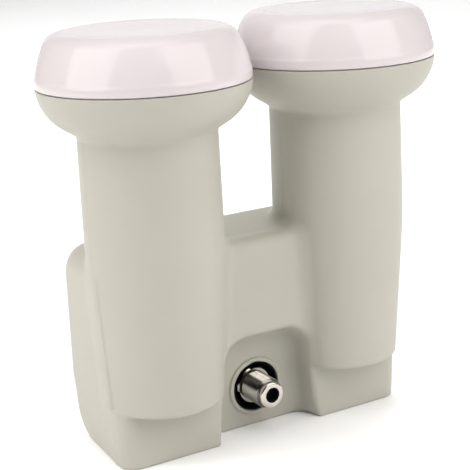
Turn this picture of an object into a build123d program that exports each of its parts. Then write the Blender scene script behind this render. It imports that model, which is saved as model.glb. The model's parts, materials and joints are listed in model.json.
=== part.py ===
from build123d import *
import math
import os

os.makedirs("parts", exist_ok=True)

# ---------------------------------------------------------------------------
# Twin-feed satellite low-noise block, standing on its base with both feeds up.
# Origin: on the base plane, midway between the feeds, in the plane that holds
# both feed axes (also the parting plane of the cover).  +X along the pair of
# feeds, +Y to the rear, +Z up.  Millimetres.
# ---------------------------------------------------------------------------

# feeds and cover
feed_pitch = 64.0          # distance between the two feed axes
fx = feed_pitch / 2
neck_r = 20.0              # clamp neck, 40 mm diameter
wall = 2.2                 # cover wall
z_seam = 111.8             # seam between bowl and cap
z_bowl = 98.2              # where the bowl grows out of the neck
z_bridge = 62.9            # flat top of the bridge
z_pil = 61.8               # where the neck turns into the tapered pilaster
z_ledge = 17.5             # underside of the pilaster
pil_r = 17.6               # pilaster radius at the ledge
pil_x = 31.8               # pilaster centre at the ledge
pil_y = 0.85
front_y0 = -6.65           # front plane at the base
front_y1 = -7.69           # front plane at the bridge top
back_y0 = 41.0             # rear plane at the base
back_y1 = 30.9             # rear plane at the bridge top
side_x0 = 49.2             # half width at the base, in the parting plane
side_x1 = 52.0             # half width at the bridge top
side_draft = 0.08          # the sides close in towards the rear
corner_front = 5.3         # front outer corner radius of the feet
corner_rear = 7.5          # rear upright edges
edge_rear_top = 10.5       # rear edge of the top
edge_rear_bottom = 21.0    # rear edge of the base
bridge_edge = 3.8          # front edge of the bridge

# connector recess
rec_w0 = 15.8              # half width at the base, on the recess wall
rec_w1 = 12.9              # half width at its top, on the recess wall
rec_h = 30.3               # top of the recess, on the recess wall
rec_flare = 15.1           # the sides and the top open out to the front, degrees
rec_y0 = 1.65              # recess wall at the base
rec_corner = 5.2
rec_fillet = 3.6
conn_z = 12.9              # connector axis height
collar_r = 9.4
collar_hole_r = 7.9
collar_h = 0.8

# connector
thread_r = 4.76            # 3/8-32 thread, major radius
conn_tip_y = -8.9
hex_af = 11.0
hex_y0 = 1.6
hex_y1 = 5.0               # seat on the sealing washer
seal_r, seal_t = 9.8, 0.9  # flange of the rubber grommet between hexagon and chassis boss
grommet_r, grommet_in_r = 7.8, 7.2  # its sleeve lines the opening in the cover
grommet_y = 0.9
mouth_r = 2.35             # lip at the tip
shank_r = 4.0

# chassis
guide_r = 9.0              # waveguide bore
guide_wall_r = 12.5
guide_z0 = 24.0            # back-short
tray_y0, tray_y1 = 11.5, 14.0     # tray floor
tray_rim = 24.0
tray_x, tray_z0, tray_z1 = 40.0, 19.0, 50.0
chin_x, chin_z0 = 14.5, 6.0
tray_wall = 2.2
horn_rim_r = 25.6
z_flange = 108.4

# slopes
front_slope = (front_y1 - front_y0) / z_bridge
back_slope = (back_y1 - back_y0) / z_bridge
side_slope = (side_x1 - side_x0) / z_bridge
fn = math.hypot(1.0, front_slope)
front_normal = Vector(0, -1 / fn, front_slope / fn)     # outward normal of the front plane


def axial(x0):
    """Upright plane through a feed axis: local x is radius, local y is height."""
    return Plane(origin=(x0, 0, 0), x_dir=(1, 0, 0), z_dir=(0, -1, 0))


# bowl profile, radius and height
bowl = [(20.0, z_bowl), (21.0, 98.85), (24.1, 100.8), (26.5, 102.8), (28.05, 104.8),
        (29.15, 106.8), (29.85, 108.8), (30.2, 110.3), (30.35, 111.3)]
# cap profile, radius and height above the seam
cap_prof = [(30.38, 0.7), (30.3, 1.8), (30.14, 3.1), (29.82, 4.65), (29.36, 6.4), (28.8, 8.1),
            (28.1, 9.9), (27.5, 11.25), (26.9, 12.4), (26.15, 13.4), (25.15, 14.12), (24.0, 14.6), (22.8, 14.86), (21.6, 14.98)]
cap_top = 15.0


def inset(points, d):
    """The profile moved inwards by d along its normals (solid on the left of the path)."""
    out = []
    for i, (r, z) in enumerate(points):
        r0, z0 = points[max(i - 1, 0)]
        r1, z1 = points[min(i + 1, len(points) - 1)]
        tr, tz = r1 - r0, z1 - z0
        n = math.hypot(tr, tz)
        out.append((r - d * tz / n, z + d * tr / n))
    return out


bowl_in = inset(bowl, wall)
bowl_in[0] = (neck_r - wall, bowl_in[0][1])
bowl_in[-1] = (bowl_in[-1][0], z_seam)

# ---------------------------------------------------------------------------
# Solid envelope of the cover (outer skin) and its cavity
# ---------------------------------------------------------------------------


def feed_solid(x0, inner):
    """Neck and bowl of one feed as a turned solid."""
    prof = bowl_in if inner else bowl
    r = neck_r - wall if inner else neck_r
    top = z_seam + 1 if inner else z_seam
    with BuildPart() as feed:
        with BuildSketch(axial(x0)):
            with BuildLine():
                Polyline((0, z_pil), (r, z_pil), prof[0])
                Spline(*prof)
                if inner:
                    Polyline(prof[-1], (prof[-1][0], top), (0, top), (0, z_pil))
                else:
                    Polyline(prof[-1], (29.95, z_seam), (0, z_seam), (0, z_pil))
            make_face()
        revolve(axis=Axis((x0, 0, 0), (0, 0, 1)))
    return feed.part


def pilaster(side, inner):
    """Tapered lower continuation of a neck, ending in the ledge."""
    d = wall if inner else 0.0
    with BuildPart() as pil:
        with BuildSketch(Plane.XY.offset(z_ledge + d)):
            with Locations((side * pil_x, pil_y)):
                Circle(pil_r - d)
        with BuildSketch(Plane.XY.offset(z_pil)):
            with Locations((side * fx, 0)):
                Circle(neck_r - d)
        loft()
    return pil.part


def side_cut(side, d):
    """Plane of an outer side, moved inwards by d, normal pointing outwards."""
    n = Vector(side, side_draft, -side_slope)
    n = n / n.length
    return Plane(origin=(side * side_x0 - n.X * d, -n.Y * d, -n.Z * d), z_dir=n)


def rear_box(inner):
    """Box behind the parting plane: side profile crossed with the rounded plan."""
    d = wall if inner else 0.0
    dn = d * math.hypot(1.0, back_slope)
    y_front = -1.0 if inner else 0.0
    with BuildPart() as plan:
        with BuildSketch(Plane.YZ.offset(-60)):
            with BuildLine():
                z0, z1 = -8.0, z_bridge + 8.0
                Polyline((y_front, z0), (back_y0 - dn + back_slope * z0, z0),
                         (back_y0 - dn + back_slope * z1, z1), (y_front, z1), close=True)
            make_face()
        extrude(amount=120)
        split(bisect_by=side_cut(1, d), keep=Keep.BOTTOM)
        split(bisect_by=side_cut(-1, d), keep=Keep.BOTTOM)
        back = plan.faces().filter_by(lambda f: f.normal_at().Y > 0.9)
        fillet(back.edges().filter_by(lambda e: abs(e.tangent_at(0.5).Z) > 0.8), corner_rear - d)
    with BuildPart() as box:
        with BuildSketch(Plane.YZ.offset(-60)) as sk:
            with BuildLine():
                z0, z1 = d, z_bridge - d
                Polyline((y_front, z0), (back_y0 - dn + back_slope * z0, z0),
                         (back_y0 - dn + back_slope * z1, z1), (y_front, z1), close=True)
            make_face()
            fillet(sk.vertices().filter_by(lambda v: v.X > 10 and v.Y > 30), edge_rear_top - d)
            fillet(sk.vertices().filter_by(lambda v: v.X > 10 and v.Y < 10), edge_rear_bottom - d)
        extrude(amount=120)
        add(plan.part, mode=Mode.INTERSECT)
    return box.part


def front_box(inner):
    """Web between the feeds and the two feet, in front of the parting plane."""
    d = wall if inner else 0.0
    dn = d * fn
    with BuildPart() as web:
        with BuildSketch(Plane.YZ.offset(-fx)) as sk:
            with BuildLine():
                z0, z1 = d, z_bridge - d
                Polyline((1.0, z0), (front_y0 + dn + front_slope * z0, z0),
                         (front_y0 + dn + front_slope * z1, z1), (1.0, z1), close=True)
            make_face()
            # soft front edge of the bridge
            fillet(sk.vertices().filter_by(lambda v: v.Y > 30 and v.X < -5), bridge_edge - 0.9 * d)
        extrude(amount=feed_pitch)
    with BuildPart() as feet:
        with BuildSketch(Plane.YZ.offset(-60)):
            with BuildLine():
                z0, z1 = d, z_ledge + d
                Polyline((12.0, z0), (front_y0 + dn + front_slope * z0, z0),
                         (front_y0 + dn + front_slope * z1, z1), (12.0, z1), close=True)
            make_face()
        extrude(amount=120)
        split(bisect_by=side_cut(1, d), keep=Keep.BOTTOM)
        split(bisect_by=side_cut(-1, d), keep=Keep.BOTTOM)
        face = feet.faces().sort_by(Axis.Y)[0]
        fillet(face.edges().filter_by(lambda e: abs(e.tangent_at(0.5).Z) > 0.8), corner_front - d)
    return web.part, feet.part


def recess_tool(grow):
    """Block that leaves the connector recess, open downwards and to the front."""
    o = Vector(0, rec_y0 + grow * fn, 0)
    wall_plane = Plane(origin=o, x_dir=(1, 0, 0), z_dir=front_normal)
    k = 1 / fn
    with BuildPart() as tool:
        with BuildSketch(wall_plane) as sk:
            with BuildLine():
                g = grow * (1 / math.cos(math.radians(rec_flare)) - math.tan(math.radians(rec_flare)))
                slope = (rec_w0 - rec_w1) / rec_h
                lo, hi = -6.0, rec_h + g
                Polyline((-(rec_w0 + g - slope * lo), lo / k), (rec_w0 + g - slope * lo, lo / k),
                         (rec_w0 + g - slope * rec_h, hi / k), (-(rec_w0 + g - slope * rec_h), hi / k), close=True)
            make_face()
            fillet(sk.vertices().group_by(Axis.Y)[-1], rec_corner + grow)
        extrude(amount=30, taper=-rec_flare)
        deep = tool.faces().filter_by(lambda f: abs(f.normal_at().dot(front_normal)) > 0.999).sort_by(Axis.Y)[-1]
        edge = deep.edges().filter_by(lambda e: e.center().Z > -4)
        fillet(edge, rec_fillet + grow * 0.8)
    return tool.part


outer_web, outer_feet = front_box(False)
inner_web, inner_feet = front_box(True)
conn_axis = Axis((0, 0, conn_z), (0, 1, 0))
wall_y = rec_y0 + front_slope * conn_z            # recess wall at the connector height
collar_plane = Plane(origin=(0, wall_y, conn_z), x_dir=(1, 0, 0), z_dir=front_normal)

# upper and lower fastener posts of the cover
screw_at = [(-9.0, 55.4), (9.0, 55.4), (-36.0, 12.0), (36.0, 12.0)]
screw_seat_y = 20.0
screw_tip_y = -4.8

with BuildPart() as envelope:
    add(rear_box(False))
    add(outer_web)
    add(outer_feet)
    for s in (-1, 1):
        add(pilaster(s, False))
        add(feed_solid(s * fx, False))
    add(recess_tool(0.0), mode=Mode.SUBTRACT)

with BuildPart() as cavity:
    add(rear_box(True))
    add(inner_web)
    add(inner_feet)
    for s in (-1, 1):
        add(pilaster(s, True))
        add(feed_solid(s * fx, True))
    add(recess_tool(wall), mode=Mode.SUBTRACT)

with BuildPart() as cover:
    add(envelope.part)
    add(cavity.part, mode=Mode.SUBTRACT)
    # raised collar round the connector opening
    with BuildSketch(collar_plane):
        Circle(collar_r)
    extrude(amount=collar_h)
    with BuildSketch(collar_plane.offset(-wall - 4)):
        Circle(collar_hole_r)
    extrude(amount=wall + 8, mode=Mode.SUBTRACT)

# walls of the recess
with BuildPart() as recess_wall:
    add(cover.part)
    add(recess_tool(wall), mode=Mode.INTERSECT)

# posts, limited to the inside of the envelope
with BuildPart() as posts:
    for (px, pz) in screw_at:
        with BuildSketch(Plane(origin=(px, -20, pz), x_dir=(1, 0, 0), z_dir=(0, 1, 0))):
            Circle(4.3)
        extrude(amount=70)
    add(envelope.part, mode=Mode.INTERSECT)

with BuildPart() as front_housing:
    add(cover.part)
    add(posts.part)
    for (px, pz) in screw_at:
        with BuildSketch(Plane(origin=(px, 0, pz), x_dir=(1, 0, 0), z_dir=(0, -1, 0))):
            Circle(1.5)
        extrude(amount=-screw_tip_y, mode=Mode.SUBTRACT)
    split(bisect_by=Plane.XZ, keep=Keep.TOP)
    # the recess wall belongs to the front half, also where it passes behind the parting plane
    add(recess_wall.part)

with BuildPart() as rear_housing:
    add(cover.part)
    add(posts.part)
    for (px, pz) in screw_at:
        with BuildSketch(Plane(origin=(px, -2, pz), x_dir=(1, 0, 0), z_dir=(0, 1, 0))):
            Circle(1.6)
        extrude(amount=60, mode=Mode.SUBTRACT)
        with BuildSketch(Plane(origin=(px, screw_seat_y, pz), x_dir=(1, 0, 0), z_dir=(0, 1, 0))):
            Circle(3.3)
        extrude(amount=40, mode=Mode.SUBTRACT)
    split(bisect_by=Plane.XZ, keep=Keep.BOTTOM)
    add(recess_tool(wall), mode=Mode.SUBTRACT)

front_housing.part.label = "front_housing"
rear_housing.part.label = "rear_housing"

# ---------------------------------------------------------------------------
# Radome caps and their seals
# ---------------------------------------------------------------------------
skirt_r0, skirt_r1 = 25.8, 27.1
cap_pts = [(r, z_seam + h) for r, h in cap_prof]
cap_in = inset(cap_pts, 1.8)


def cap_solid(x0):
    with BuildPart() as cap:
        with BuildSketch(axial(x0)):
            with BuildLine():
                Polyline((skirt_r0, z_flange), (skirt_r1, z_flange), (skirt_r1, z_seam + 0.15),
                         (30.0, z_seam + 0.15), cap_pts[0])
                Spline(*cap_pts, tangents=[(0, 1), (-1, 0.02)])
                Polyline(cap_pts[-1], (0, z_seam + cap_top), (0, z_seam + cap_top - 1.8), cap_in[-1])
                Spline(*reversed(cap_in[3:]))
                Polyline(cap_in[3], (skirt_r0, z_seam + 2.0), (skirt_r0, z_flange))
            make_face()
        revolve(axis=Axis((x0, 0, 0), (0, 0, 1)))
    return cap.part


with BuildPart() as left_radome_cap:
    add(cap_solid(-fx))
with BuildPart() as right_radome_cap:
    add(cap_solid(fx))
left_radome_cap.part.label = "left_radome_cap"
right_radome_cap.part.label = "right_radome_cap"

ring_r0, ring_z0, ring_h = 24.4, 109.8, 1.6


def ring_solid(x0):
    with BuildPart() as ring:
        with BuildSketch(axial(x0)) as sk:
            with Locations(((ring_r0 + skirt_r0) / 2, ring_z0 + ring_h / 2)):
                RectangleRounded(skirt_r0 - ring_r0, ring_h, 0.45)
        revolve(axis=Axis((x0, 0, 0), (0, 0, 1)))
    return ring.part


with BuildPart() as left_cap_oring:
    add(ring_solid(-fx))
with BuildPart() as right_cap_oring:
    add(ring_solid(fx))
left_cap_oring.part.label = "left_cap_oring"
right_cap_oring.part.label = "right_cap_oring"

# ---------------------------------------------------------------------------
# Die-cast chassis: two waveguides with scalar-ring horns and the shielded tray
# ---------------------------------------------------------------------------
post_at = [(-36.6, 22.4), (36.6, 22.4), (-36.6, 46.6), (36.6, 46.6), (0.0, 46.6), (-11.2, 9.4), (11.2, 9.4)]
post_r = 3.2
lid_screw_r = 1.25
probe_v_z, probe_h_z, iso_z = 45.0, 33.0, 39.0
pin_r = 0.5
sleeve_r = 1.9
leg_dx = 15.5              # outside leg of the bent probe, measured from the feed axis
board_t = 1.0


def tray_outline(shrink):
    """T-shaped tray outline in the XZ plane, moved inwards by shrink."""
    s = shrink
    return [(-tray_x + s, tray_z0 + s), (-chin_x + s, tray_z0 + s), (-chin_x + s, chin_z0 + s),
            (chin_x - s, chin_z0 + s), (chin_x - s, tray_z0 + s), (tray_x - s, tray_z0 + s),
            (tray_x - s, tray_z1 - s), (-tray_x + s, tray_z1 - s)]


def xz(y):
    """Plane facing the rear at depth y; local x is -X, local y is Z."""
    return Plane(origin=(0, y, 0), x_dir=(-1, 0, 0), z_dir=(0, 1, 0))


def horn(x0):
    with BuildPart() as h:
        with BuildSketch(axial(x0)):
            with BuildLine():
                Polyline((0, guide_z0 - 2), (guide_wall_r, guide_z0 - 2), (guide_wall_r, 97.0), (23.6, 104.6),
                         (26.2, 107.2), (26.8, 107.7), (26.8, z_flange), (horn_rim_r, z_flange),
                         (horn_rim_r, ring_z0), (ring_r0, ring_z0), (ring_r0, ring_z0 + ring_h),
                         (horn_rim_r, ring_z0 + ring_h), (horn_rim_r, 113.0), (23.2, 113.0),
                         (23.2, 106.6), (20.2, 106.6), (20.2, 112.0), (18.6, 112.0), (18.6, 103.6), (15.6, 103.6),
                         (15.6, 111.0), (13.6, 111.0), (guide_r, 97.0), (guide_r, guide_z0), (0, guide_z0), close=True)
            make_face()
        revolve(axis=Axis((x0, 0, 0), (0, 0, 1)))
    return h.part


with BuildPart() as feed_chassis:
    for s in (-1, 1):
        add(horn(s * fx))
    with BuildSketch(xz(tray_y0)):
        Polygon(*[(-x, z) for x, z in tray_outline(0)], align=None)
    extrude(amount=tray_rim - tray_y0)
    with BuildSketch(xz(tray_y1)):
        Polygon(*[(-x, z) for x, z in tray_outline(tray_wall)], align=None)
    extrude(amount=tray_rim - tray_y1, mode=Mode.SUBTRACT)
    # lid posts
    with BuildSketch(xz(tray_y1)):
        for (px, pz) in post_at:
            with Locations((-px, pz)):
                Circle(post_r)
    extrude(amount=tray_rim - tray_y1)
    with BuildSketch(xz(tray_rim - 7)):
        for (px, pz) in post_at:
            with Locations((-px, pz)):
                Circle(lid_screw_r)
    extrude(amount=7, mode=Mode.SUBTRACT)
    # connector boss
    with BuildSketch(xz(hex_y1 + seal_t)):
        with Locations((0, conn_z)):
            Circle(7.6)
    extrude(amount=tray_y0 - hex_y1 - seal_t)
    with BuildSketch(xz(hex_y1 + seal_t)):
        with Locations((0, conn_z)):
            Circle(shank_r)
    extrude(amount=tray_y1 - hex_y1 - seal_t, mode=Mode.SUBTRACT)
    for s in (-1, 1):
        # bore of the guides stays open through the tray floor side
        with BuildSketch(Plane.XY.offset(guide_z0)):
            with Locations((s * fx, 0)):
                Circle(guide_r)
        extrude(amount=60, mode=Mode.SUBTRACT)
        # passage of the straight probe, with its sleeve
        with BuildSketch(Plane(origin=(s * fx, 0, probe_v_z), x_dir=(1, 0, 0), z_dir=(0, 1, 0))):
            Circle(sleeve_r)
        extrude(amount=tray_y1, mode=Mode.SUBTRACT)
        # passages of the bent probe: guide wall and tray floor
        with BuildSketch(Plane(origin=(s * fx, 0, probe_h_z), x_dir=(0, 1, 0), z_dir=(-s, 0, 0))):
            Circle(sleeve_r)
        extrude(amount=13.5, mode=Mode.SUBTRACT)
        with BuildSketch(Plane(origin=(s * (fx - leg_dx), tray_y0 - 1, probe_h_z), x_dir=(1, 0, 0), z_dir=(0, 1, 0))):
            Circle(sleeve_r)
        extrude(amount=tray_y1 - tray_y0 + 1, mode=Mode.SUBTRACT)
        # seats of the cross pin
        with BuildSketch(Plane(origin=(s * fx - 11, 0, iso_z), x_dir=(0, 1, 0), z_dir=(1, 0, 0))):
            Circle(0.75)
        extrude(amount=22, mode=Mode.SUBTRACT)
    # board screw holes in the floor
    board_screw_at = [(-20.0, 44.5), (20.0, 44.5), (-20.0, 24.0), (20.0, 24.0), (0.0, 30.0)]
    with BuildSketch(xz(tray_y0 + 0.4)):
        for (px, pz) in board_screw_at:
            with Locations((-px, pz)):
                Circle(1.0)
    extrude(amount=tray_y1 - tray_y0, mode=Mode.SUBTRACT)
feed_chassis.part.label = "feed_chassis"

# sleeves, probes and cross pins
with BuildPart() as probe_sleeves:
    for s in (-1, 1):
        with BuildSketch(Plane(origin=(s * fx, guide_r - 0.2, probe_v_z), x_dir=(1, 0, 0), z_dir=(0, 1, 0))):
            Circle(sleeve_r)
            Circle(pin_r, mode=Mode.SUBTRACT)
        extrude(amount=tray_y1 - guide_r + 0.2)
        with BuildSketch(Plane(origin=(s * (fx - guide_r + 0.2), 0, probe_h_z), x_dir=(0, 1, 0), z_dir=(-s, 0, 0))):
            Circle(sleeve_r)
            Circle(pin_r, mode=Mode.SUBTRACT)
        extrude(amount=4.0)
        with BuildSketch(Plane(origin=(s * (fx - leg_dx), tray_y0, probe_h_z), x_dir=(1, 0, 0), z_dir=(0, 1, 0))):
            Circle(sleeve_r)
            Circle(pin_r, mode=Mode.SUBTRACT)
        extrude(amount=tray_y1 - tray_y0)
probe_sleeves.part.label = "probe_sleeves"


def straight_probe(s):
    with BuildPart() as p:
        with BuildSketch(Plane(origin=(s * fx, 4.0, probe_v_z), x_dir=(1, 0, 0), z_dir=(0, 1, 0))):
            Circle(pin_r)
        extrude(amount=tray_y1 + board_t + 0.5 - 4.0)
    return p.part


def bent_probe(s):
    x_in, x_out = s * (fx - 4.0), s * (fx - leg_dx)
    with BuildPart() as p:
        with BuildLine():
            FilletPolyline((x_in, 0, probe_h_z), (x_out, 0, probe_h_z),
                           (x_out, tray_y1 + board_t + 0.5, probe_h_z), radius=1.5)
        with BuildSketch(Plane(origin=(x_in, 0, probe_h_z), x_dir=(0, 1, 0), z_dir=(-s, 0, 0))):
            Circle(pin_r)
        sweep()
    return p.part


with BuildPart() as left_vertical_probe:
    add(straight_probe(-1))
with BuildPart() as right_vertical_probe:
    add(straight_probe(1))
with BuildPart() as left_horizontal_probe:
    add(bent_probe(-1))
with BuildPart() as right_horizontal_probe:
    add(bent_probe(1))
left_vertical_probe.part.label = "left_vertical_probe"
right_vertical_probe.part.label = "right_vertical_probe"
left_horizontal_probe.part.label = "left_horizontal_probe"
right_horizontal_probe.part.label = "right_horizontal_probe"

with BuildPart() as isolation_pins:
    for s in (-1, 1):
        with BuildSketch(Plane(origin=(s * fx - 11, 0, iso_z), x_dir=(0, 1, 0), z_dir=(1, 0, 0))):
            Circle(0.75)
        extrude(amount=22)
isolation_pins.part.label = "isolation_pins"

# ---------------------------------------------------------------------------
# Board and what sits on it
# ---------------------------------------------------------------------------
board_top = tray_y1 + board_t

with BuildPart() as circuit_board:
    with BuildSketch(xz(tray_y1)):
        Polygon(*[(-x, z) for x, z in tray_outline(tray_wall + 0.3)], align=None)
        for (px, pz) in post_at:
            with Locations((-px, pz)):
                Circle(post_r + 0.25, mode=Mode.SUBTRACT)
        for (px, pz) in board_screw_at:
            with Locations((-px, pz)):
                Circle(1.0, mode=Mode.SUBTRACT)
        for s in (-1, 1):
            with Locations((-s * fx, probe_v_z), (-s * (fx - leg_dx), probe_h_z)):
                Circle(pin_r, mode=Mode.SUBTRACT)
        with Locations((0, conn_z)):
            Circle(0.6, mode=Mode.SUBTRACT)
    extrude(amount=board_t)
circuit_board.part.label = "circuit_board"

with BuildPart() as board_screws:
    with BuildSketch(xz(tray_y0 + 0.4)):
        for (px, pz) in board_screw_at:
            with Locations((-px, pz)):
                Circle(1.0)
    extrude(amount=board_top - tray_y0 - 0.4)
    with BuildSketch(xz(board_top)):
        for (px, pz) in board_screw_at:
            with Locations((-px, pz)):
                Circle(1.9)
    extrude(amount=1.4)
    with BuildSketch(xz(board_top + 0.7)):
        for (px, pz) in board_screw_at:
            with Locations((-px, pz)):
                Rectangle(2.4, 0.5)
                Rectangle(0.5, 2.4)
    extrude(amount=0.7, mode=Mode.SUBTRACT)
board_screws.part.label = "board_screws"


def chips(places, w, h, t):
    """Flat packages on the board: (x, z) places, width, height and thickness."""
    with BuildPart() as group:
        with BuildSketch(xz(board_top)):
            for (px, pz) in places:
                with Locations((-px, pz)):
                    Rectangle(w, h)
        extrude(amount=t)
        tops = group.faces().filter_by(lambda f: f.normal_at().Y > 0.99)
        chamfer(tops.edges(), 0.2)
    return group.part


with BuildPart() as amplifier_transistors:
    add(chips([(-32, 41.0), (-26.5, 38.0), (-16.5, 36.5), (32, 41.0), (26.5, 38.0), (16.5, 36.5)], 2.1, 1.4, 1.0))
with BuildPart() as mixer_chips:
    add(chips([(-9.0, 38.0), (9.0, 38.0)], 4.0, 4.0, 0.9))
with BuildPart() as switch_chip:
    add(chips([(0.0, 22.5)], 6.0, 5.0, 1.2))
with BuildPart() as regulator_chip:
    add(chips([(27.0, 26.5)], 6.5, 3.6, 1.7))
with BuildPart() as board_capacitors:
    add(chips([(-30.0, 30.0), (-27.0, 30.0), (-24.0, 30.0), (-30.0, 26.5), (-26.5, 26.5), (24.0, 31.0),
               (27.0, 31.0), (30.0, 31.0), (-6.5, 17.5), (6.5, 17.5), (-6.5, 9.5), (6.5, 9.5)], 2.0, 1.25, 0.8))
amplifier_transistors.part.label = "amplifier_transistors"
mixer_chips.part.label = "mixer_chips"
switch_chip.part.label = "switch_chip"
regulator_chip.part.label = "regulator_chip"
board_capacitors.part.label = "board_capacitors"

reson_at = [(-9.0, 30.0), (9.0, 30.0)]
with BuildPart() as dielectric_resonators:
    with BuildSketch(xz(board_top)):
        for (px, pz) in reson_at:
            with Locations((-px, pz)):
                Circle(2.9)
    extrude(amount=2.6)
    chamfer(dielectric_resonators.edges().filter_by(GeomType.CIRCLE), 0.25)
dielectric_resonators.part.label = "dielectric_resonators"

# ---------------------------------------------------------------------------
# Lid, gasket and their screws
# ---------------------------------------------------------------------------
gasket_t, lid_t = 0.5, 1.2
lid_y0 = tray_rim + gasket_t
lid_y1 = lid_y0 + lid_t

with BuildPart() as lid_gasket:
    with BuildSketch(xz(tray_rim)):
        Polygon(*[(-x, z) for x, z in tray_outline(0)], align=None)
        Polygon(*[(-x, z) for x, z in tray_outline(tray_wall)], align=None, mode=Mode.SUBTRACT)
        for (px, pz) in post_at:
            with Locations((-px, pz)):
                Circle(post_r)
        for (px, pz) in post_at:
            with Locations((-px, pz)):
                Circle(lid_screw_r, mode=Mode.SUBTRACT)
    extrude(amount=gasket_t)
lid_gasket.part.label = "lid_gasket"

with BuildPart() as chassis_lid:
    with BuildSketch(xz(lid_y0)):
        Polygon(*[(-x, z) for x, z in tray_outline(0)], align=None)
        for (px, pz) in post_at:
            with Locations((-px, pz)):
                Circle(lid_screw_r, mode=Mode.SUBTRACT)
        for (px, pz) in reson_at:
            with Locations((-px, pz)):
                Circle(2.0, mode=Mode.SUBTRACT)
    extrude(amount=lid_t)
chassis_lid.part.label = "chassis_lid"

with BuildPart() as lid_screws:
    with BuildSketch(xz(tray_rim - 6.5)):
        for (px, pz) in post_at:
            with Locations((-px, pz)):
                Circle(lid_screw_r)
    extrude(amount=lid_y1 - tray_rim + 6.5)
    with BuildSketch(xz(lid_y1)):
        for (px, pz) in post_at:
            with Locations((-px, pz)):
                Circle(2.3)
    extrude(amount=1.5)
    with BuildSketch(xz(lid_y1 + 0.7)):
        for (px, pz) in post_at:
            with Locations((-px, pz)):
                Rectangle(3.0, 0.6)
                Rectangle(0.6, 3.0)
    extrude(amount=0.8, mode=Mode.SUBTRACT)
lid_screws.part.label = "lid_screws"

with BuildPart() as tuning_screws:
    with BuildSketch(xz(board_top + 4.2)):
        for (px, pz) in reson_at:
            with Locations((-px, pz)):
                Circle(2.0)
    extrude(amount=lid_y1 + 0.8 - board_top - 4.2)
    with BuildSketch(xz(lid_y1)):
        for (px, pz) in reson_at:
            with Locations((-px, pz)):
                Rectangle(3.2, 0.7)
    extrude(amount=0.8, mode=Mode.SUBTRACT)
tuning_screws.part.label = "tuning_screws"

# ---------------------------------------------------------------------------
# Coaxial outlet
# ---------------------------------------------------------------------------
bore_r = 3.3
with BuildPart() as connector_body:
    with BuildSketch(Plane(origin=(0, conn_tip_y, conn_z), x_dir=(1, 0, 0), z_dir=(0, 1, 0))):
        Circle(thread_r)
    extrude(amount=hex_y0 - conn_tip_y)
    chamfer(connector_body.edges().filter_by(GeomType.CIRCLE).sort_by(Axis.Y)[0], 0.6)
    with BuildSketch(Plane(origin=(0, hex_y0, conn_z), x_dir=(1, 0, 0), z_dir=(0, 1, 0))):
        RegularPolygon(hex_af / 2, 6, major_radius=False, rotation=12)
    extrude(amount=hex_y1 - hex_y0)
    with BuildSketch(Plane(origin=(0, hex_y1, conn_z), x_dir=(1, 0, 0), z_dir=(0, 1, 0))):
        Circle(shank_r)
    extrude(amount=tray_y1 - hex_y1)
    # bore for the dielectric, with a narrow lip at the mouth
    with BuildSketch(Plane(origin=(0, conn_tip_y + 0.8, conn_z), x_dir=(1, 0, 0), z_dir=(0, 1, 0))):
        Circle(bore_r)
    extrude(amount=30, mode=Mode.SUBTRACT)
    with BuildSketch(Plane(origin=(0, conn_tip_y - 1, conn_z), x_dir=(1, 0, 0), z_dir=(0, 1, 0))):
        Circle(mouth_r)
    extrude(amount=5, mode=Mode.SUBTRACT)
connector_body.part.label = "connector_body"

with BuildPart() as connector_seal:
    with BuildSketch(Plane(origin=(0, hex_y1, conn_z), x_dir=(1, 0, 0), z_dir=(0, 1, 0))):
        Circle(seal_r)
        Circle(shank_r, mode=Mode.SUBTRACT)
    extrude(amount=seal_t)
    with BuildSketch(Plane(origin=(0, grommet_y, conn_z), x_dir=(1, 0, 0), z_dir=(0, 1, 0))):
        Circle(grommet_r)
        Circle(grommet_in_r, mode=Mode.SUBTRACT)
    extrude(amount=hex_y1 - grommet_y)
connector_seal.part.label = "connector_seal"

with BuildPart() as connector_insulator:
    with BuildSketch(Plane(origin=(0, conn_tip_y + 0.8, conn_z), x_dir=(1, 0, 0), z_dir=(0, 1, 0))):
        Circle(bore_r)
    extrude(amount=tray_y1 - conn_tip_y - 0.8)
    with BuildSketch(Plane(origin=(0, conn_tip_y, conn_z), x_dir=(1, 0, 0), z_dir=(0, 1, 0))):
        Circle(0.6)
    extrude(amount=40, mode=Mode.SUBTRACT)
    # dished mouth that guides the cable's centre wire
    with BuildSketch(Plane(origin=(0, conn_tip_y + 0.8, conn_z), x_dir=(1, 0, 0), z_dir=(0, 1, 0))):
        Circle(2.2)
    extrude(amount=2.4, mode=Mode.SUBTRACT)
connector_insulator.part.label = "connector_insulator"

with BuildPart() as connector_contact:
    with BuildSketch(Plane(origin=(0, conn_tip_y + 3.4, conn_z), x_dir=(1, 0, 0), z_dir=(0, 1, 0))):
        Circle(0.6)
    extrude(amount=board_top + 0.5 - conn_tip_y - 3.4)
    with BuildSketch(Plane(origin=(0, conn_tip_y + 3.4, conn_z), x_dir=(1, 0, 0), z_dir=(0, 1, 0))):
        Circle(0.35)
    extrude(amount=6, mode=Mode.SUBTRACT)
connector_contact.part.label = "connector_contact"

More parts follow.
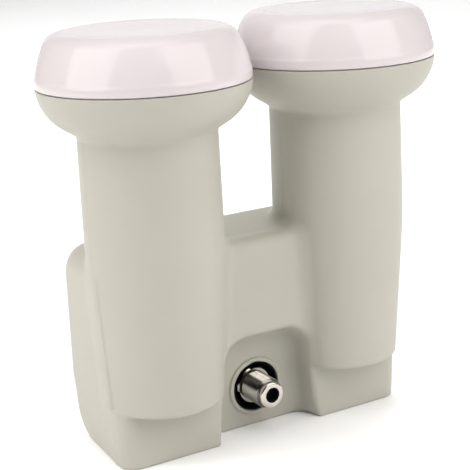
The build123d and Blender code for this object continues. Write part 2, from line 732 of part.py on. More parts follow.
# ---------------------------------------------------------------------------
# Cover screws, driven from the rear into the front posts
# ---------------------------------------------------------------------------
with BuildPart() as housing_screws:
    for (px, pz) in screw_at:
        with BuildSketch(Plane(origin=(px, screw_tip_y + 0.4, pz), x_dir=(1, 0, 0), z_dir=(0, 1, 0))):
            Circle(1.5)
        extrude(amount=screw_seat_y - screw_tip_y - 0.4)
        with BuildSketch(Plane(origin=(px, screw_seat_y, pz), x_dir=(1, 0, 0), z_dir=(0, 1, 0))):
            Circle(2.8)
        extrude(amount=2.2)
        with BuildSketch(Plane(origin=(px, screw_seat_y + 1.0, pz), x_dir=(1, 0, 0), z_dir=(0, 1, 0))):
            Rectangle(3.4, 0.8)
            Rectangle(0.8, 3.4)
        extrude(amount=1.2, mode=Mode.SUBTRACT)
housing_screws.part.label = "housing_screws"

# ---------------------------------------------------------------------------
# One file per piece
# ---------------------------------------------------------------------------
export_step(front_housing.part, "parts/front_housing.step")
export_step(rear_housing.part, "parts/rear_housing.step")
export_step(left_radome_cap.part, "parts/left_radome_cap.step")
export_step(right_radome_cap.part, "parts/right_radome_cap.step")
export_step(left_cap_oring.part, "parts/left_cap_oring.step")
export_step(right_cap_oring.part, "parts/right_cap_oring.step")
export_step(feed_chassis.part, "parts/feed_chassis.step")
export_step(chassis_lid.part, "parts/chassis_lid.step")
export_step(lid_gasket.part, "parts/lid_gasket.step")
export_step(lid_screws.part, "parts/lid_screws.step")
export_step(circuit_board.part, "parts/circuit_board.step")
export_step(board_screws.part, "parts/board_screws.step")
export_step(left_vertical_probe.part, "parts/left_vertical_probe.step")
export_step(right_vertical_probe.part, "parts/right_vertical_probe.step")
export_step(left_horizontal_probe.part, "parts/left_horizontal_probe.step")
export_step(right_horizontal_probe.part, "parts/right_horizontal_probe.step")
export_step(probe_sleeves.part, "parts/probe_sleeves.step")
export_step(isolation_pins.part, "parts/isolation_pins.step")
export_step(connector_body.part, "parts/connector_body.step")
export_step(connector_insulator.part, "parts/connector_insulator.step")
export_step(connector_contact.part, "parts/connector_contact.step")
export_step(connector_seal.part, "parts/connector_seal.step")
export_step(amplifier_transistors.part, "parts/amplifier_transistors.step")
export_step(mixer_chips.part, "parts/mixer_chips.step")
export_step(switch_chip.part, "parts/switch_chip.step")
export_step(regulator_chip.part, "parts/regulator_chip.step")
export_step(board_capacitors.part, "parts/board_capacitors.step")
export_step(dielectric_resonators.part, "parts/dielectric_resonators.step")
export_step(tuning_screws.part, "parts/tuning_screws.step")
export_step(housing_screws.part, "parts/housing_screws.step")
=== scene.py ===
"""Looks of the twin-feed satellite converter: moulded cover halves, gloss feed caps, threaded outlet, studio."""

import json
import math

import bpy
import numpy as np
from mathutils import Matrix, Vector


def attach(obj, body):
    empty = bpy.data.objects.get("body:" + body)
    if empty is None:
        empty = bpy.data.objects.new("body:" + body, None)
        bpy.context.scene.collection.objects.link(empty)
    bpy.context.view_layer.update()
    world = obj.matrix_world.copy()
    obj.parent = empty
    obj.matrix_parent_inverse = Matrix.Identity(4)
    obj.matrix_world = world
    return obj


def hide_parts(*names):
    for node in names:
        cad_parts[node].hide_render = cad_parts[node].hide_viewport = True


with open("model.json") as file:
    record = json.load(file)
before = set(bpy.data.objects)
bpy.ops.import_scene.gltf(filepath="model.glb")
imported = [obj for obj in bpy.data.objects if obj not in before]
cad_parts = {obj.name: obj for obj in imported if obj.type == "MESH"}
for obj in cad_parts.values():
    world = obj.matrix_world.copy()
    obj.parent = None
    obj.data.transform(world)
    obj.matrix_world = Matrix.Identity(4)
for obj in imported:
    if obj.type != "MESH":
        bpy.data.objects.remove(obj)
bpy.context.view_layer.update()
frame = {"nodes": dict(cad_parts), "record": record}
MM = 0.001

# ---------------------------------------------------------------- shape values, millimetres
FX = 32.0                 # feed axis from the middle
NECK_R = 20.0
WALL = 2.2
Z_SEAM = 111.8
Z_BRIDGE = 62.9
Z_PIL = 61.8
Z_LEDGE = 17.5
FRONT_Y0, FRONT_SLOPE = -6.65, -1.04 / 62.9
BACK_Y0, BACK_SLOPE = 41.0, -10.1 / 62.9
SIDE_X0, SIDE_SLOPE, SIDE_DRAFT = 49.2, 2.8 / 62.9, 0.08
REC_W0, REC_SLOPE, REC_FLARE, REC_H, REC_Y0 = 17.5, -0.095, 0.27, 32.6, 1.65
CONN_Z = 12.9
COLLAR_R, HOLE_R, COLLAR_H = 9.3, 7.9, 0.8
SCREWS = [(-9.0, 55.4), (9.0, 55.4), (-36.0, 12.0), (36.0, 12.0)]
SCREW_SEAT_Y = 20.0
GAP = 0.035               # half the joint line between the cover halves

BOWL = [(97.2, 20.0), (97.8, 20.1), (98.3, 20.42), (98.85, 21.05), (99.8, 22.5), (100.8, 24.05), (102.8, 26.45),
        (104.8, 28.05), (106.8, 29.15), (108.8, 29.87), (110.3, 30.2), (111.3, 30.36), (112.4, 30.42)]


def spline(points, step):
    """Natural cubic through (t, v) points, sampled at a fixed step."""
    t = np.array([p[0] for p in points], float)
    v = np.array([p[1] for p in points], float)
    n = len(t)
    h = np.diff(t)
    a = np.zeros((n, n))
    b = np.zeros(n)
    a[0, 0] = a[-1, -1] = 1.0
    for i in range(1, n - 1):
        a[i, i - 1], a[i, i], a[i, i + 1] = h[i - 1], 2 * (h[i - 1] + h[i]), h[i]
        b[i] = 6 * ((v[i + 1] - v[i]) / h[i] - (v[i] - v[i - 1]) / h[i - 1])
    m = np.linalg.solve(a, b)
    s = np.arange(t[0], t[-1] + step * 0.5, step)
    k = np.clip(np.searchsorted(t, s) - 1, 0, n - 2)
    u, w = s - t[k], t[k + 1] - s
    hk = h[k]
    return s, (m[k] * w ** 3 + m[k + 1] * u ** 3) / (6 * hk) + (v[k] / hk - m[k] * hk / 6) * w + (v[k + 1] / hk - m[k + 1] * hk / 6) * u


BOWL_Z, BOWL_R = spline(BOWL, 0.05)
BOWL_S = np.gradient(BOWL_R, BOWL_Z)


def sstep(a, b, x):
    t = np.clip((x - a) / (b - a), 0.0, 1.0)
    return t * t * (3.0 - 2.0 * t)


def rmin(a, b, r):
    """Union with a hollow fillet of radius r."""
    return np.maximum(r, np.minimum(a, b)) - np.hypot(np.maximum(r - a, 0.0), np.maximum(r - b, 0.0))


def rmax(a, b, r):
    """Intersection with a rounded edge of radius r."""
    return np.minimum(-r, np.maximum(a, b)) + np.hypot(np.maximum(r + a, 0.0), np.maximum(r + b, 0.0))


CF = 1.0 / math.hypot(1.0, FRONT_SLOPE)
CB = 1.0 / math.hypot(1.0, BACK_SLOPE)
CS = 1.0 / math.sqrt(1.0 + SIDE_SLOPE ** 2 + SIDE_DRAFT ** 2)
CR = 1.0 / math.sqrt(1.0 + REC_SLOPE ** 2 + REC_FLARE ** 2)


def recess(x, y, z):
    """The hollow round the outlet, as a cutter."""
    wall = (y - (REC_Y0 + FRONT_SLOPE * z)) * CF
    foot = (0.75 + 0.75 * np.clip(x / 10.0, -1.0, 1.0)) * np.exp(-np.maximum(z, -1.0) / 3.0)
    side = (np.abs(x) - (REC_W0 + REC_SLOPE * z + foot - REC_FLARE * (y - FRONT_Y0))) * CR
    top = (z - REC_H + REC_FLARE * (y + 7.2)) * 0.965
    return rmax(rmax(side, top, 7.0), wall, 3.2)


def solid(x, y, z):
    """The cover's outside as one solid, with the recess cut in."""
    xa = np.abs(x)
    # neck, bowl and pilaster of one feed
    s = Z_PIL - z
    s = 0.5 * (s + np.sqrt(s * s + 36.0))
    xc = FX - 0.0045 * s
    yc = 0.0192 * s
    rb = np.interp(z, BOWL_Z, BOWL_R, left=20.0)
    sl = np.interp(z, BOWL_Z, BOWL_S, left=0.0)
    r = rb - 0.0542 * s + 0.3 * np.clip((98.0 - z) / 36.0, 0.0, 1.0)
    tube = (np.hypot(xa - xc, y - yc) - r) / np.sqrt(1.0 + sl * sl)
    tube = rmax(tube, z - Z_SEAM, 0.4)
    tube = rmax(tube, Z_LEDGE - z, 0.9)
    # planes of the box
    front = (FRONT_Y0 + FRONT_SLOPE * z - y) * CF
    back = (y - BACK_Y0 - BACK_SLOPE * z) * CB
    side = (xa - (SIDE_X0 + SIDE_SLOPE * z - SIDE_DRAFT * np.maximum(y, 0.0))) * CS
    top = z - Z_BRIDGE
    # rear box
    prof = rmax(rmax(back, top, 10.5), -z, 21.0)
    box = rmax(side, prof, 1.0 + 6.3 * sstep(0.0, 16.0, z))
    box = np.maximum(box, -1.0 - y)
    # web between the pilasters
    web = rmax(front, top, 3.8)
    web = np.maximum(rmax(web, -z, 0.9), np.maximum(xa - 31.0, y - 4.0))
    # feet under the pilasters
    foot = rmax(rmax(front, side, 5.3), -z, 0.9)
    foot = np.maximum(foot, np.maximum(z - 18.0, y - 6.0))
    core = np.minimum(np.minimum(box, web), foot)
    # blend of the feeds with the box
    k = np.interp(z, [0.0, 18.4, 19.5, 34.0, 50.0, 59.0, 63.0, 64.5], [0.9, 0.9, 2.0, 2.4, 3.1, 3.1, 3.2, 3.2])
    out = sstep(40.0, 46.5, xa)
    k = k * (1.0 - out) + out * (1.5 + 0.8 * sstep(61.0, 64.5, z))
    body = rmin(tube, core, k)
    cut = recess(x, y, z)
    edge = np.interp(z, [0.0, 1.2, 7.0, 20.0, 31.0, 36.0], [0.8, 0.9, 1.4, 1.4, 1.3, 1.2])
    return rmax(body, -cut, edge), cut


def fields(x, y, z):
    xa = np.abs(x)
    body, cut = solid(x, y, z)
    # collar round the outlet
    oy = REC_Y0 + FRONT_SLOPE * CONN_Z
    h = ((oy - y) + FRONT_SLOPE * (z - CONN_Z)) * CF
    v = ((z - CONN_Z) + FRONT_SLOPE * (y - oy)) * CF
    rho = np.hypot(x, v)
    mid, half = 0.5 * (COLLAR_R + HOLE_R), 0.5 * (COLLAR_R - HOLE_R)
    ring = np.hypot(np.maximum(np.abs(rho - mid) - half + 0.5, 0.0), np.maximum(np.abs(h) - COLLAR_H + 0.5, 0.0)) - 0.5
    outer = np.where(np.abs(h) < 4.0, rmin(body, ring, 0.35), body)
    hole = np.maximum(rho - HOLE_R, np.abs(h) - 7.0)
    outer = rmax(outer, -hole, 0.25)
    # hollow inside, open below each cap
    shell = np.maximum(outer, -(body + WALL))
    mouth = np.maximum(np.hypot(xa - FX, y) - 27.3, 107.6 - z)
    shell = np.maximum(shell, -mouth)
    # screw posts across the joint
    for sx, sz in SCREWS[1::2]:
        d = np.hypot(xa - abs(sx), z - sz)
        shell = np.minimum(shell, np.maximum(np.maximum(d - 4.3, body), np.maximum(-6.0 - y, y - 60.0)))
        drill = np.maximum(d - np.where(y < 0.0, 1.3, 1.7), -4.0 - y)
        shell = np.maximum(shell, -np.minimum(drill, np.maximum(d - 3.3, SCREW_SEAT_Y - y)))
    split = np.minimum(y, cut - WALL - 0.1)
    return shell, split


def front_field(x, y, z):
    shell, split = fields(x, y, z)
    return np.maximum(shell, split + GAP)


def rear_field(x, y, z):
    shell, split = fields(x, y, z)
    return np.maximum(shell, GAP - split)


# ---------------------------------------------------------------- field to mesh
def ruler(marks):
    """Grid positions from (start, spacing) marks; the last mark is the end."""
    out = [marks[0][0]]
    for (a, h), (b, _) in zip(marks[:-1], marks[1:]):
        n = max(1, int(round((b - a) / h)))
        out += [a + (b - a) * i / n for i in range(1, n + 1)]
    return np.array(out)


def gradient(field, p, e=0.02):
    g = np.empty_like(p)
    for i in range(3):
        d = np.zeros(3)
        d[i] = e
        a, b = p + d, p - d
        g[:, i] = (field(a[:, 0], a[:, 1], a[:, 2]) - field(b[:, 0], b[:, 1], b[:, 2])) / (2 * e)
    return g


def contour(field, xs, ys, zs):
    """Dual contouring on an uneven grid; keeps crisp edges."""
    ax = [xs, ys, zs]
    f = np.empty((len(xs), len(ys), len(zs)), np.float32)
    yy, zz = np.meshgrid(ys, zs, indexing="ij")
    for i0 in range(0, len(xs), 24):
        c = xs[i0:i0 + 24]
        x3 = np.broadcast_to(c[:, None, None], (len(c),) + yy.shape)
        f[i0:i0 + 24] = field(x3, np.broadcast_to(yy, x3.shape), np.broadcast_to(zz, x3.shape))
    ins = f < 0
    cells = tuple(n - 1 for n in f.shape)
    cnt = np.zeros(cells, np.int8)
    for a in (0, 1):
        for b in (0, 1):
            for c in (0, 1):
                cnt += ins[a:a + cells[0], b:b + cells[1], c:c + cells[2]]
    act = (cnt > 0) & (cnt < 8)
    ids = np.full(cells, -1, np.int64)
    nv = int(act.sum())
    ids[act] = np.arange(nv)
    ata = np.zeros((nv, 3, 3))
    atb = np.zeros((nv, 3))
    acc = np.zeros((nv, 3))
    nrm = np.zeros((nv, 3))
    num = np.zeros(nv)
    quads = []
    for axis in range(3):
        o1, o2 = (axis + 1) % 3, (axis + 2) % 3
        lo = [slice(None)] * 3
        hi = [slice(None)] * 3
        lo[axis], hi[axis] = slice(0, -1), slice(1, None)
        cross = np.argwhere(ins[tuple(lo)] != ins[tuple(hi)])
        far = cross.copy()
        far[:, axis] += 1
        f0 = f[tuple(cross.T)].astype(float)
        f1 = f[tuple(far.T)].astype(float)
        t = f0 / (f0 - f1)
        p0 = np.stack([ax[i][cross[:, i]] for i in range(3)], 1)
        p1 = np.stack([ax[i][far[:, i]] for i in range(3)], 1)
        ta, tb = np.zeros_like(t), np.ones_like(t)
        for _ in range(3):
            p = p0 + (p1 - p0) * t[:, None]
            ft = field(p[:, 0], p[:, 1], p[:, 2])
            same = (ft < 0) == (f0 < 0)
            ta, f0 = np.where(same, t, ta), np.where(same, ft, f0)
            tb, f1 = np.where(same, tb, t), np.where(same, f1, ft)
            t = np.clip(ta + (tb - ta) * f0 / np.where(f0 == f1, 1.0, f0 - f1), 0.0, 1.0)
        p = p0 + (p1 - p0) * t[:, None]
        n = gradient(field, p)
        n /= np.maximum(np.linalg.norm(n, axis=1), 1e-9)[:, None]
        nn = n[:, :, None] * n[:, None, :]
        nb = n * np.sum(n * p, 1)[:, None]
        around = []
        for d1, d2 in ((-1, -1), (0, -1), (0, 0), (-1, 0)):
            c = cross.copy()
            c[:, o1] += d1
            c[:, o2] += d2
            ok = (c[:, o1] >= 0) & (c[:, o2] >= 0) & (c[:, o1] < cells[o1]) & (c[:, o2] < cells[o2])
            cid = np.full(len(c), -1, np.int64)
            cid[ok] = ids[tuple(c[ok].T)]
            around.append(cid)
            good = cid >= 0
            np.add.at(ata, cid[good], nn[good])
            np.add.at(atb, cid[good], nb[good])
            np.add.at(acc, cid[good], p[good])
            np.add.at(nrm, cid[good], n[good])
            np.add.at(num, cid[good], 1.0)
        q = np.stack(around, 1)
        up = ins[tuple(cross.T)]
        q = np.where(up[:, None], q, q[:, ::-1])
        quads.append(q[(q >= 0).all(1)])
    mean = acc / num[:, None]
    lam = 0.05
    sol = np.linalg.solve(ata + lam * np.eye(3), (atb + lam * mean)[:, :, None])[:, :, 0]
    cell = np.argwhere(act)
    low = np.stack([ax[i][cell[:, i]] for i in range(3)], 1)
    high = np.stack([ax[i][cell[:, i] + 1] for i in range(3)], 1)
    sol = np.clip(sol, low, high)
    flat = np.linalg.norm(nrm, axis=1) / num > 0.985
    v = np.where(flat[:, None], mean, sol)
    for _ in range(2):
        s = v[flat]
        d = field(s[:, 0], s[:, 1], s[:, 2])
        g = gradient(field, s)
        step = d[:, None] * g / np.maximum(np.sum(g * g, 1), 0.25)[:, None]
        v[flat] = s - np.clip(step, -0.3, 0.3)
    return v, np.concatenate(quads)


def add_mesh(name, verts, faces, smooth=38.0):
    """A closed piece from points in millimetres; quads in an array or a list of tuples."""
    me = bpy.data.meshes.new(name)
    verts = np.asarray(verts, float) * MM
    if isinstance(faces, np.ndarray):
        me.vertices.add(len(verts))
        me.vertices.foreach_set("co", verts.astype(np.float32).ravel())
        n = len(faces)
        me.loops.add(n * 4)
        me.loops.foreach_set("vertex_index", faces.astype(np.int32).ravel())
        me.polygons.add(n)
        me.polygons.foreach_set("loop_start", np.arange(0, n * 4, 4, dtype=np.int32))
        me.update(calc_edges=True)
    else:
        me.from_pydata([tuple(v) for v in verts], [], faces)
    me.validate(clean_customdata=False)
    me.polygons.foreach_set("use_smooth", np.ones(len(me.polygons), dtype=bool))
    me.set_sharp_from_angle(angle=math.radians(smooth))
    ob = bpy.data.objects.new(name, me)
    bpy.context.scene.collection.objects.link(ob)
    return ob


def turned(name, axis_xyz, direction, loop, steps, smooth=38.0):
    """A ring-shaped piece: a closed loop of (radius, height) turned about an axis; radius may be an array over the turn."""
    d = Vector(direction).normalized()
    u = d.orthogonal().normalized()
    w = d.cross(u)
    a = np.arange(steps) * 2 * math.pi / steps
    ca, sa = np.cos(a), np.sin(a)
    rows = []
    for r, hgt in loop:
        r = np.broadcast_to(r, (steps,))
        rows.append(np.array(axis_xyz)[None, :] + (r * ca)[:, None] * np.array(u) + (r * sa)[:, None] * np.array(w)
                    + np.broadcast_to(hgt, (steps,))[:, None] * np.array(d))
    n = len(rows)
    i = np.arange(n)[:, None]
    j = np.arange(steps)[None, :]
    i2, j2 = (i + 1) % n, (j + 1) % steps
    q = np.stack([i * steps + j, i * steps + j2, i2 * steps + j2, i2 * steps + j], -1).reshape(-1, 4)
    return add_mesh(name, np.concatenate(rows), q, smooth)


# ---------------------------------------------------------------- finishes
def ramp(nt, source, a, b, lo=0.3, hi=0.7):
    r = nt.nodes.new("ShaderNodeValToRGB")
    r.color_ramp.elements[0].position, r.color_ramp.elements[1].position = lo, hi
    r.color_ramp.elements[0].color = (*a, 1.0)
    r.color_ramp.elements[1].color = (*b, 1.0)
    nt.links.new(source, r.inputs["Fac"])
    return r.outputs["Color"]


def finish(name, a, b, scale=60.0, rough=(0.4, 0.5), metal=0.0, grain=900.0, bump=0.0, stretch=None, spec=0.5, sss=0.0, painted_shade=None):
    """Procedural finish: slow colour drift, varied sheen, fine grain; optionally painted shade on a threaded part."""
    m = bpy.data.materials.new(name)
    m.use_nodes = True
    nt = m.node_tree
    nt.nodes.clear()
    out = nt.nodes.new("ShaderNodeOutputMaterial")
    bs = nt.nodes.new("ShaderNodeBsdfPrincipled")
    co = nt.nodes.new("ShaderNodeTexCoord")
    vec = co.outputs["Object"]
    if stretch:
        mp = nt.nodes.new("ShaderNodeMapping")
        mp.inputs["Scale"].default_value = stretch
        nt.links.new(vec, mp.inputs["Vector"])
        vec = mp.outputs["Vector"]
    n1 = nt.nodes.new("ShaderNodeTexNoise")
    n1.inputs["Scale"].default_value = scale
    n1.inputs["Detail"].default_value = 4.0
    nt.links.new(vec, n1.inputs["Vector"])
    tint = ramp(nt, n1.outputs["Fac"], a, b)
    if painted_shade:
        # painted shade: thread valleys and the thread's underside darker, behind the plain tip, standing in for shade
        # and dark reflections
        sep = nt.nodes.new("ShaderNodeSeparateXYZ")
        nt.links.new(co.outputs["Object"], sep.inputs["Vector"])
        up = nt.nodes.new("ShaderNodeMath")
        up.operation = "SUBTRACT"
        up.inputs[1].default_value = painted_shade[0]
        nt.links.new(sep.outputs["Z"], up.inputs[0])
        flat = nt.nodes.new("ShaderNodeCombineXYZ")
        nt.links.new(sep.outputs["X"], flat.inputs["X"])
        nt.links.new(up.outputs["Value"], flat.inputs["Z"])
        ln = nt.nodes.new("ShaderNodeVectorMath")
        ln.operation = "LENGTH"
        nt.links.new(flat.outputs["Vector"], ln.inputs[0])
        # painted shade in the thread valleys, set by distance from the outlet's axis
        fr = nt.nodes.new("ShaderNodeMapRange")
        for k, val in zip(("From Min", "From Max", "To Min", "To Max"), (painted_shade[1], painted_shade[2], 0.5, 1.0)):
            fr.inputs[k].default_value = val
        nt.links.new(ln.outputs["Value"], fr.inputs["Value"])
        fy = nt.nodes.new("ShaderNodeMapRange")
        for k, val in zip(("From Min", "From Max", "To Min", "To Max"), (painted_shade[3] - 0.0002, painted_shade[3], 1.0, 0.0)):
            fy.inputs[k].default_value = val
        nt.links.new(sep.outputs["Y"], fy.inputs["Value"])
        # painted shade and painted dark reflection on faces turned down and sideways, set by the object-space normal
        side = nt.nodes.new("ShaderNodeSeparateXYZ")
        nt.links.new(co.outputs["Normal"], side.inputs["Vector"])
        fz = nt.nodes.new("ShaderNodeMapRange")
        for k, val in zip(("From Min", "From Max", "To Min", "To Max"), (-0.25, 0.7, 0.3, 1.0)):
            fz.inputs[k].default_value = val
        nt.links.new(side.outputs["Z"], fz.inputs["Value"])
        both = nt.nodes.new("ShaderNodeMath")
        both.operation = "MULTIPLY"
        nt.links.new(fr.outputs["Result"], both.inputs[0])
        nt.links.new(fz.outputs["Result"], both.inputs[1])
        mx = nt.nodes.new("ShaderNodeMath")
        mx.operation = "MAXIMUM"
        nt.links.new(both.outputs["Value"], mx.inputs[0])
        nt.links.new(fy.outputs["Result"], mx.inputs[1])
        sc = nt.nodes.new("ShaderNodeVectorMath")
        sc.operation = "SCALE"
        nt.links.new(tint, sc.inputs[0])
        nt.links.new(mx.outputs["Value"], sc.inputs["Scale"])
        tint = sc.outputs["Vector"]
    nt.links.new(tint, bs.inputs["Base Color"])
    n2 = nt.nodes.new("ShaderNodeTexNoise")
    n2.inputs["Scale"].default_value = grain
    n2.inputs["Detail"].default_value = 3.0
    nt.links.new(vec, n2.inputs["Vector"])
    mr = nt.nodes.new("ShaderNodeMapRange")
    mr.inputs["From Min"].default_value = 0.3
    mr.inputs["From Max"].default_value = 0.7
    mr.inputs["To Min"].default_value = rough[0]
    mr.inputs["To Max"].default_value = rough[1]
    nt.links.new(n2.outputs["Fac"], mr.inputs["Value"])
    nt.links.new(mr.outputs["Result"], bs.inputs["Roughness"])
    if bump:
        bp = nt.nodes.new("ShaderNodeBump")
        bp.inputs["Strength"].default_value = bump
        bp.inputs["Distance"].default_value = 0.0001
        nt.links.new(n2.outputs["Fac"], bp.inputs["Height"])
        nt.links.new(bp.outputs["Normal"], bs.inputs["Normal"])
    bs.inputs["Metallic"].default_value = metal
    bs.inputs["Specular IOR Level"].default_value = spec
    if sss:
        bs.inputs["Subsurface Weight"].default_value = sss
        bs.inputs["Subsurface Radius"].default_value = (1.0, 0.9, 0.85)
        bs.inputs["Subsurface Scale"].default_value = 0.002
    nt.links.new(bs.outputs["BSDF"], out.inputs["Surface"])
    return m


def srgb(r, g, b):
    return tuple((c / 255 / 12.92) if c / 255 <= 0.04045 else ((c / 255 + 0.055) / 1.055) ** 2.4 for c in (r, g, b))


LOOK = {
    "cover": finish("cover_plastic", srgb(173, 170, 159), srgb(176, 173, 163), 28.0, (0.46, 0.56), grain=1500.0, bump=0.06, spec=0.4),
    "cap": finish("cap_plastic", srgb(203, 195, 196), srgb(206, 198, 200), 22.0, (0.10, 0.14), grain=300.0, spec=0.5),
    "seal": finish("black_rubber", srgb(8, 8, 8), srgb(16, 16, 16), 200.0, (0.7, 0.85), bump=0.1, spec=0.08),
    "die_cast": finish("zinc_casting", srgb(168, 168, 166), srgb(184, 184, 182), 120.0, (0.38, 0.52), 1.0, 1200.0, 0.12),
    "lid_sheet": finish("tinned_sheet", srgb(190, 190, 188), srgb(205, 205, 203), 90.0, (0.25, 0.36), 1.0, 800.0, 0.05),
    "gasket": finish("gasket_foam", srgb(58, 58, 60), srgb(74, 74, 76), 400.0, (0.7, 0.85), bump=0.2),
    "screw_steel": finish("zinc_steel", srgb(176, 178, 180), srgb(200, 202, 204), 250.0, (0.24, 0.36), 1.0, 1500.0, 0.08),
    "board": finish("solder_mask", srgb(20, 78, 46), srgb(30, 96, 58), 260.0, (0.3, 0.42), bump=0.08),
    "contact": finish("gold_plate", srgb(226, 184, 98), srgb(238, 200, 120), 300.0, (0.18, 0.28), 1.0),
    "insulator": finish("white_dielectric", srgb(226, 224, 216), srgb(236, 234, 228), 200.0, (0.4, 0.5)),
    "dark_insulator": finish("black_dielectric", srgb(10, 10, 16), srgb(20, 20, 28), 200.0, (0.4, 0.5), spec=0.15),
    # outlet nickel with painted shade in the thread valleys and painted dark reflection on the thread's lower side
    "nickel": finish("nickel_plate", srgb(202, 196, 186), srgb(214, 208, 199), 300.0, (0.16, 0.26), 1.0, 1600.0, 0.05, painted_shade=(CONN_Z / 1000, 0.00428, 0.00468, -0.0071)),
    "chip": finish("chip_epoxy", srgb(24, 24, 26), srgb(36, 36, 38), 500.0, (0.5, 0.65), bump=0.1),
    "capacitor": finish("capacitor_ceramic", srgb(150, 110, 74), srgb(170, 128, 88), 500.0, (0.4, 0.5)),
    "resonator": finish("resonator_ceramic", srgb(196, 172, 134), srgb(210, 188, 150), 400.0, (0.5, 0.6), bump=0.1),
    "brass_screw": finish("brass", srgb(196, 160, 84), srgb(212, 178, 104), 250.0, (0.22, 0.34), 1.0, 1400.0, 0.06),
}

SLOT_OF = {}
for row in frame["record"]["subparts"]:
    SLOT_OF[row["node"]] = row["material_slot"]
for n, ob in frame["nodes"].items():
    ob.data.materials.clear()
    ob.data.materials.append(LOOK[SLOT_OF[n]])


def put(ob, node, slot):
    ob.data.materials.append(LOOK[slot])
    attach(ob, "root")
    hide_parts(node)
    return ob


# ---------------------------------------------------------------- cover halves
XS_H = [(0.0, 0.6), (22.0, 0.8), (44.0, 0.7), (54.0, 0.9), (63.2, 1.0)]
half = ruler(XS_H)
xs = np.concatenate([-half[:0:-1], half])
zs = ruler([(-0.7, 0.35), (2.1, 0.75), (15.9, 0.5), (20.0, 0.9), (56.0, 0.65), (66.0, 1.2), (96.0, 0.6), (109.8, 0.4), (112.6, 1.0)])
v, q = contour(front_field, xs, ruler([(-31.3, 0.8), (-17.0, 0.65), (-2.0, 0.5), (7.0, 1.0)]), zs)
put(add_mesh("front_cover", v, q), "front_housing", "cover")
half = ruler([(0.0, 0.75), (22.0, 0.9), (44.0, 0.75), (54.0, 0.95), (63.2, 1.0)])
xs = np.concatenate([-half[:0:-1], half])
zs = ruler([(-0.7, 0.35), (2.1, 0.85), (15.9, 0.65), (20.0, 1.0), (56.0, 0.7), (66.0, 1.3), (96.0, 0.65), (109.8, 0.4), (112.6, 1.0)])
v, q = contour(rear_field, xs, ruler([(-1.0, 0.5), (2.0, 0.9), (39.8, 1.0)]), zs)
put(add_mesh("rear_cover", v, q), "rear_housing", "cover")

# ---------------------------------------------------------------- feed caps
CAP_SIDE = [(3.2, 30.14), (4.65, 29.82), (6.4, 29.36), (8.1, 28.81), (9.9, 28.1), (11.25, 27.5), (12.4, 26.9)]
sh, sr = spline(CAP_SIDE, 0.3)
loop = [(27.1, 0.15), (29.7, 0.15), (30.02, 0.2), (30.25, 0.38), (30.35, 0.65), (30.38, 1.2), (30.34, 2.2), (30.26, 3.0), (30.19, 3.15)]
loop += [(float(r), float(h)) for h, r in zip(sh[1:], sr[1:])]
top = [(26.55, 12.95), (26.12, 13.4), (25.65, 13.78), (25.1, 14.12), (24.55, 14.38), (23.95, 14.6), (23.35, 14.75), (22.75, 14.86), (22.15, 14.93), (21.6, 14.96),
       (21.1, 14.94), (20.6, 14.86), (20.0, 14.76), (18.0, 14.7), (10.0, 14.68), (0.02, 14.68)]
inner = [(0.02, 12.8), (10.0, 12.8), (20.5, 12.75), (22.6, 12.3), (24.0, 11.4), (25.0, 10.0), (25.6, 8.0), (25.8, 6.5), (25.8, 0.0), (25.8, -3.4), (27.1, -3.4)]
for name, x, node in (("left_cap", -FX, "left_radome_cap"), ("right_cap", FX, "right_radome_cap")):
    put(turned(name, (x, 0.0, Z_SEAM), (0, 0, 1), loop + top + inner, 192, 30.0), node, "cap")

# ---------------------------------------------------------------- threaded outlet
STEPS = 120
ang = np.arange(STEPS) * 2 * math.pi / STEPS
PITCH, DEPTH, TR = 0.98, 0.52, 4.74
tip = 8.9                                       # distance of the tip in front of y = 0


def hexagon(af, turn):
    k = (ang - math.radians(turn)) % (math.pi / 3) - math.pi / 6
    return np.minimum(af / 2 / np.cos(k), af / 2 * 1.06)


body = [(3.3, -9.0), (3.3, 4.0), (3.3, 8.0), (2.36, 8.2), (2.34, 8.72), (2.42, 8.86), (2.56, 8.9), (3.5, 8.82), (3.86, 8.68), (4.05, 8.45),
        (4.12, 8.1), (4.12, 7.75), (4.06, 7.6), (3.85, 7.5), (3.8, 7.3), (3.85, 7.15)]
hs = np.arange(7.1, -1.5, -PITCH / 10)
for h in hs:
    ph = (h / PITCH + ang / (2 * math.pi)) % 1.0
    tri = np.clip(np.abs(2 * ph - 1) * 1.25 - 0.12, 0.0, 1.0)
    full = TR - DEPTH * tri
    fade = min(1.0, (7.1 - h) / 0.6)
    body.append((3.85 * (1 - fade) + full * fade, h))
body += [(4.4, -1.58), (5.1, -1.6), (np.minimum(hexagon(11.3, 12), 5.55), -1.62), (hexagon(11.3, 12), -1.95), (hexagon(11.3, 12), -4.65),
         (np.minimum(hexagon(11.3, 12), 5.6), -5.0), (4.0, -5.0), (4.0, -7.0), (4.0, -9.0)]
put(turned("coaxial_outlet", (0.0, 0.0, CONN_Z), (0, -1, 0), body, STEPS, 34.0), "connector_body", "nickel")
# rubber grommet lining the opening
grommet = [(4.1, -5.88), (4.1, -5.03), (7.2, -5.03), (7.2, -0.95), (7.32, -0.83), (7.62, -0.83), (7.78, -0.98), (7.78, -5.02), (9.7, -5.02), (9.8, -5.1),
           (9.8, -5.8), (9.7, -5.88)]
put(turned("outlet_grommet", (0.0, 0.0, CONN_Z), (0, -1, 0), grommet, 96, 34.0), "connector_seal", "seal")

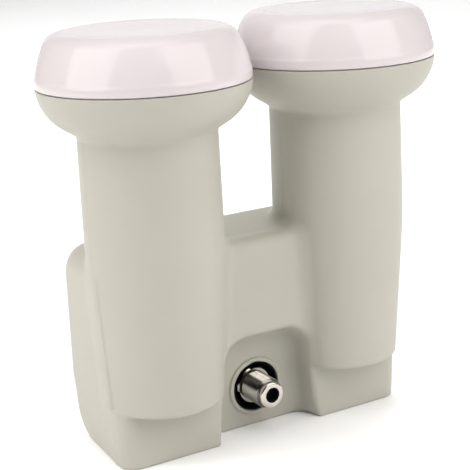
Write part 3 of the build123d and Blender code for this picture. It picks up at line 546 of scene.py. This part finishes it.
# ---------------------------------------------------------------- studio
AWAY, ACROSS = Vector((0.5016, 0.8650, 0.0)), Vector((0.8650, -0.5016, 0.0))
sweep = [(-4.0, 0.0), (1.75, 0.0)] + [(1.75 + 0.35 * math.sin(t), 0.35 * (1 - math.cos(t))) for t in np.linspace(0.1, math.pi / 2, 14)] + [(2.1, 2.0)]
pts = [AWAY * u + ACROSS * w + Vector((0, 0, h)) for u, h in sweep for w in (-4.0, 4.0)]
me = bpy.data.meshes.new("floor")
me.from_pydata([tuple(p) for p in pts], [], [(2 * i, 2 * i + 1, 2 * i + 3, 2 * i + 2) for i in range(len(sweep) - 1)])
me.polygons.foreach_set("use_smooth", np.ones(len(me.polygons), dtype=bool))
floor = bpy.data.objects.new("floor", me)
bpy.context.scene.collection.objects.link(floor)
fm = finish("floor_sweep", (0.93, 0.93, 0.93), (0.95, 0.95, 0.95), 3.0, (0.8, 0.9), grain=40.0, spec=0.1)
floor.data.materials.append(fm)

scene = bpy.context.scene
scene.view_settings.view_transform = "Standard"
world = bpy.data.worlds.new("studio")
scene.world = world
world.use_nodes = True
wn = world.node_tree
bg = wn.nodes["Background"]
bg.inputs["Color"].default_value = (1.0, 0.995, 0.985, 1.0)
bg.inputs["Strength"].default_value = 0.015


def softbox(name, azim, elev, dist, w, h, power, colour, aim=None, sheen=True):
    """Light panel; azimuth from the camera's side, positive to the picture's right; aim is a floor distance the same way."""
    back, right = Vector((-0.5016, -0.8650, 0)), Vector((0.8650, -0.5016, 0))
    a, e = math.radians(azim), math.radians(elev)
    d = (back * math.cos(a) + right * math.sin(a)) * math.cos(e) + Vector((0, 0, math.sin(e)))
    li = bpy.data.lights.new(name, "AREA")
    li.shape, li.size, li.size_y = "RECTANGLE", w, h
    li.energy = power
    li.color = colour
    ob = bpy.data.objects.new(name, li)
    at = Vector((0, 0, 0.08))
    ob.location = at + d * dist
    if aim is not None:
        flat = back * math.cos(a) + right * math.sin(a)
        d = (ob.location - flat * aim).normalized()
    ob.rotation_euler = (-d).to_track_quat("-Z", "Y").to_euler()
    ob.visible_glossy = sheen
    scene.collection.objects.link(ob)
    return ob


softbox("left_panel", -59, 31, 0.82, 0.72, 0.85, 4.1, (1.0, 0.985, 0.97))
softbox("left_fill_panel", -84, 20, 0.85, 0.6, 0.7, 1.9, (1.0, 0.985, 0.97), sheen=False)
softbox("front_right_panel", 56, 29, 0.9, 0.76, 0.85, 4.3, (1.0, 0.99, 0.975))
softbox("front_top_panel", 30, 44, 1.0, 0.7, 0.45, 2.2, (1.0, 0.99, 0.98), sheen=False)
softbox("overhead_panel", 0, 80, 1.0, 0.9, 0.7, 2.6, (1.0, 0.99, 0.98))
softbox("upper_left_panel", -70, 60, 1.0, 0.7, 0.7, 3.0, (1.0, 0.99, 0.98), sheen=False)
softbox("upper_right_panel", 75, 60, 1.0, 0.7, 0.7, 0.4, (1.0, 0.99, 0.98), sheen=False)
softbox("right_fill_panel", 92, 22, 0.85, 0.6, 0.7, 2.2, (1.0, 0.985, 0.965), sheen=False)
softbox("rear_panel", 180, 20, 1.0, 0.8, 0.6, 5.0, (1.0, 1.0, 1.0), sheen=False)
softbox("rear_left_panel", -140, 25, 1.0, 0.7, 0.6, 0.3, (1.0, 1.0, 1.0), sheen=False)
softbox("far_floor_panel", 180, 36, 1.4, 2.4, 0.9, 13.2, (1.0, 1.0, 1.0), aim=1.2, sheen=False)

cam = bpy.data.cameras.new("camera")
cam.sensor_width = 36.0
cam.lens = 99.62
cam.clip_start = 0.01
co = bpy.data.objects.new("camera", cam)
right, up, fwd = Vector((0.85730, -0.51252, -0.04854)), Vector((0.17592, 0.20303, 0.96325)), Vector((0.48383, 0.83432, -0.26422))
rot = Matrix((right, up, -fwd)).transposed().to_4x4()
co.matrix_world = Matrix.Translation((-0.19283, -0.32340, 0.16508)) @ rot
scene.collection.objects.link(co)
scene.camera = co
